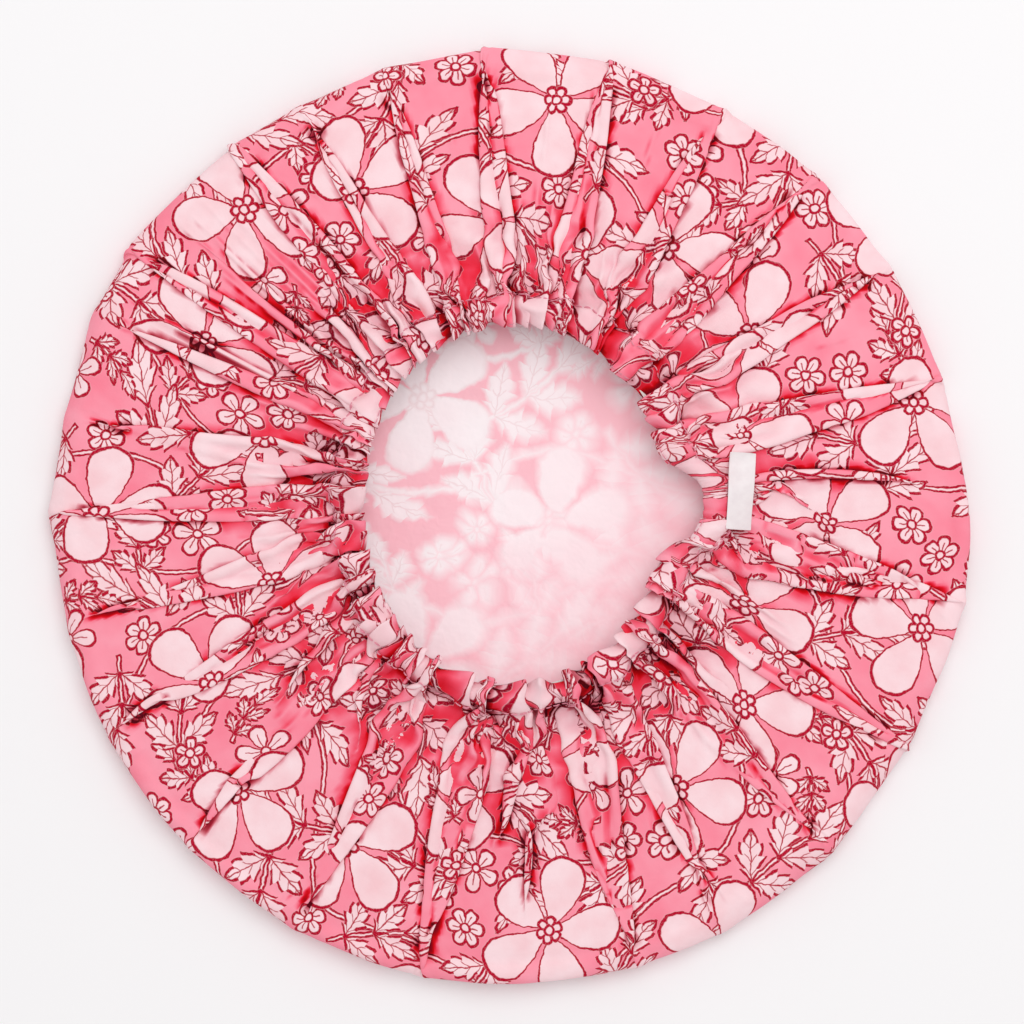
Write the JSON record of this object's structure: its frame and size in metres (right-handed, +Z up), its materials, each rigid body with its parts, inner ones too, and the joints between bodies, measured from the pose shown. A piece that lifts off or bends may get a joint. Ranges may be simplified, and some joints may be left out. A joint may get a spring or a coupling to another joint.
{
  "type": "shower cap",
  "caption": "Lined fabric shower cap lying flat on its crown, with an elastic mouth that gathers its turned-up side into pleats.",
  "frame": {"origin": "on the surface that the crown lies on, under the middle of the cap's outline", "axes": "+Z up out of the mouth, +X towards the label's side, +Y along the label"},
  "size_m": [0.295, 0.2986, 0.026],
  "materials": {
    "cotton": "block-printed plain-weave cotton",
    "liner_film": "frosted soft film",
    "elastic": "braided elastic",
    "thread": "spun polyester thread",
    "satin": "woven satin ribbon"
  },
  "bodies": {
    "crown": {"outer_shell": "cotton", "waterproof_liner": "liner_film"},
    "mouth": {"elastic_band": "elastic", "elastic_join_thread": "thread", "casing_needle_thread": "thread", "casing_bobbin_thread": "thread", "mouth_seam_thread": "thread"},
    "label": {"label": "satin"}
  },
  "joints": [
    {"name": "mouth_lift", "type": "slide", "parent": "crown", "child": "mouth", "axis": [0, 0, 1], "range_m": [0, 0.035], "deforming": ["outer_shell", "waterproof_liner"]},
    {"name": "label_flap", "type": "hinge", "parent": "mouth", "child": "label", "pos_m": [0.07463, 0.00635, 0.01957], "axis": [0, -1, 0], "range_deg": [0, 120]}
  ]
}
